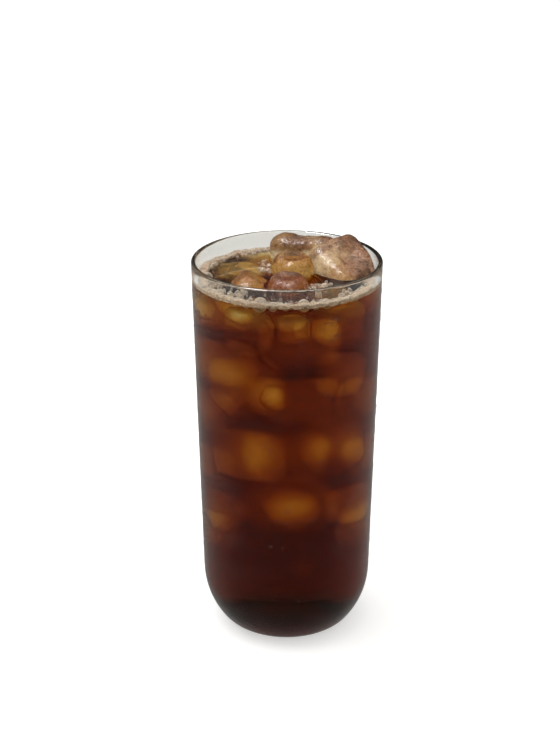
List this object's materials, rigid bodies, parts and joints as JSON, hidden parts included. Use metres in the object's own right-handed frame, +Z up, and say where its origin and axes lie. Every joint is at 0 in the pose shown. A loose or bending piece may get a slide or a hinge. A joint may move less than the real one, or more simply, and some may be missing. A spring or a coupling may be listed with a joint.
{
  "type": "iced americano",
  "caption": "Iced black coffee in a tall tapered glass tumbler, with melting ice cubes breaking its surface and a thin band of froth along the wall.",
  "frame": {"origin": "middle of the plane that the glass stands on", "axes": "+Z up along the glass's axis, -Y towards the drinker, +X to the drinker's right"},
  "size_m": [0.076, 0.076, 0.1634],
  "materials": {
    "clear_glass": "clear, fire-polished soda-lime glass",
    "coffee": "clear dark coffee, amber where it is thin",
    "froth": "fine tan bubbles",
    "ice": "wet, half-melted ice with a cloudy core"
  },
  "bodies": {
    "root": {"glass": "clear_glass", "coffee": "coffee", "froth": "froth", "ice_right": "ice", "ice_back": "ice", "ice_middle": "ice", "ice_front_left": "ice", "ice_front_right": "ice"}
  },
  "joints": []
}
